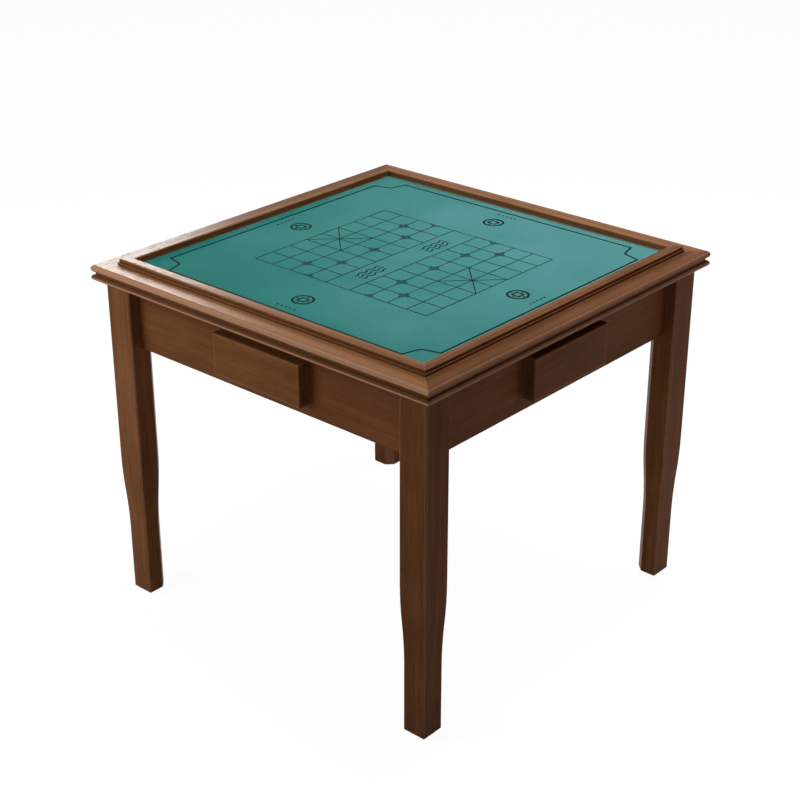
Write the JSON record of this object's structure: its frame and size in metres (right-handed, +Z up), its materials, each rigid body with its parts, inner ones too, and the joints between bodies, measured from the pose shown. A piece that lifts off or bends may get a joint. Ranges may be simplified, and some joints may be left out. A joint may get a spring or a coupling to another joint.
{
  "type": "mahjong table",
  "caption": "Square wooden games table with a felt playing surface inside a raised mitred rim, tapered legs, and a drawer that slides out of the apron on each side.",
  "frame": {"origin": "on the floor, under the middle of the square top", "axes": "+Z up; -Y is the front drawer's side, +X the right drawer's side"},
  "size_m": [0.88, 0.88, 0.76],
  "materials": {
    "walnut_stain": "walnut-stained hardwood, satin lacquer",
    "pale_wood": "bare pale softwood",
    "plywood": "bare plywood",
    "green_felt": "matt felt with printed lines",
    "zinc_steel": "zinc plated",
    "glide_plastic": "moulded"
  },
  "bodies": {
    "table": {"apron_back": "walnut_stain", "apron_front": "walnut_stain", "apron_left": "walnut_stain", "apron_right": "walnut_stain", "bracket_screws": "zinc_steel", "clip_screws": "zinc_steel", "corner_brackets": "zinc_steel", "drawer_strips_back": "pale_wood", "drawer_strips_front": "pale_wood", "drawer_strips_left": "pale_wood", "drawer_strips_right": "pale_wood", "felt_cloth": "green_felt", "foot_glides": "glide_plastic", "hanger_bolts": "zinc_steel", "hanger_nuts": "zinc_steel", "hanger_washers": "zinc_steel", "leg_back_left": "walnut_stain", "leg_back_right": "walnut_stain", "leg_front_left": "walnut_stain", "leg_front_right": "walnut_stain", "long_bearer_left": "pale_wood", "long_bearer_right": "pale_wood", "play_panel": "plywood", "rim_strip_back": "walnut_stain", "rim_strip_front": "walnut_stain", "rim_strip_left": "walnut_stain", "rim_strip_right": "walnut_stain", "short_bearer_left_back": "pale_wood", "short_bearer_left_front": "pale_wood", "short_bearer_right_back": "pale_wood", "short_bearer_right_front": "pale_wood", "top_clips": "zinc_steel", "top_rail_back": "walnut_stain", "top_rail_front": "walnut_stain", "top_rail_left": "walnut_stain", "top_rail_right": "walnut_stain"},
    "drawer_front": {"drawer_front_back": "pale_wood", "drawer_front_bottom": "plywood", "drawer_front_front": "walnut_stain", "drawer_front_screws": "zinc_steel", "drawer_front_side_left": "pale_wood", "drawer_front_side_right": "pale_wood"},
    "drawer_right": {"drawer_right_back": "pale_wood", "drawer_right_bottom": "plywood", "drawer_right_front": "walnut_stain", "drawer_right_screws": "zinc_steel", "drawer_right_side_left": "pale_wood", "drawer_right_side_right": "pale_wood"},
    "drawer_back": {"drawer_back_back": "pale_wood", "drawer_back_bottom": "plywood", "drawer_back_front": "walnut_stain", "drawer_back_screws": "zinc_steel", "drawer_back_side_left": "pale_wood", "drawer_back_side_right": "pale_wood"},
    "drawer_left": {"drawer_left_back": "pale_wood", "drawer_left_bottom": "plywood", "drawer_left_front": "walnut_stain", "drawer_left_screws": "zinc_steel", "drawer_left_side_left": "pale_wood", "drawer_left_side_right": "pale_wood"}
  },
  "joints": [
    {"name": "drawer_front_slide", "type": "slide", "parent": "table", "child": "drawer_front", "axis": [0, -1, 0], "range_m": [0, 0.165]},
    {"name": "drawer_right_slide", "type": "slide", "parent": "table", "child": "drawer_right", "axis": [1, 0, 0], "range_m": [0, 0.165]},
    {"name": "drawer_back_slide", "type": "slide", "parent": "table", "child": "drawer_back", "axis": [0, 1, 0], "range_m": [0, 0.165]},
    {"name": "drawer_left_slide", "type": "slide", "parent": "table", "child": "drawer_left", "axis": [-1, 0, 0], "range_m": [0, 0.165]}
  ]
}
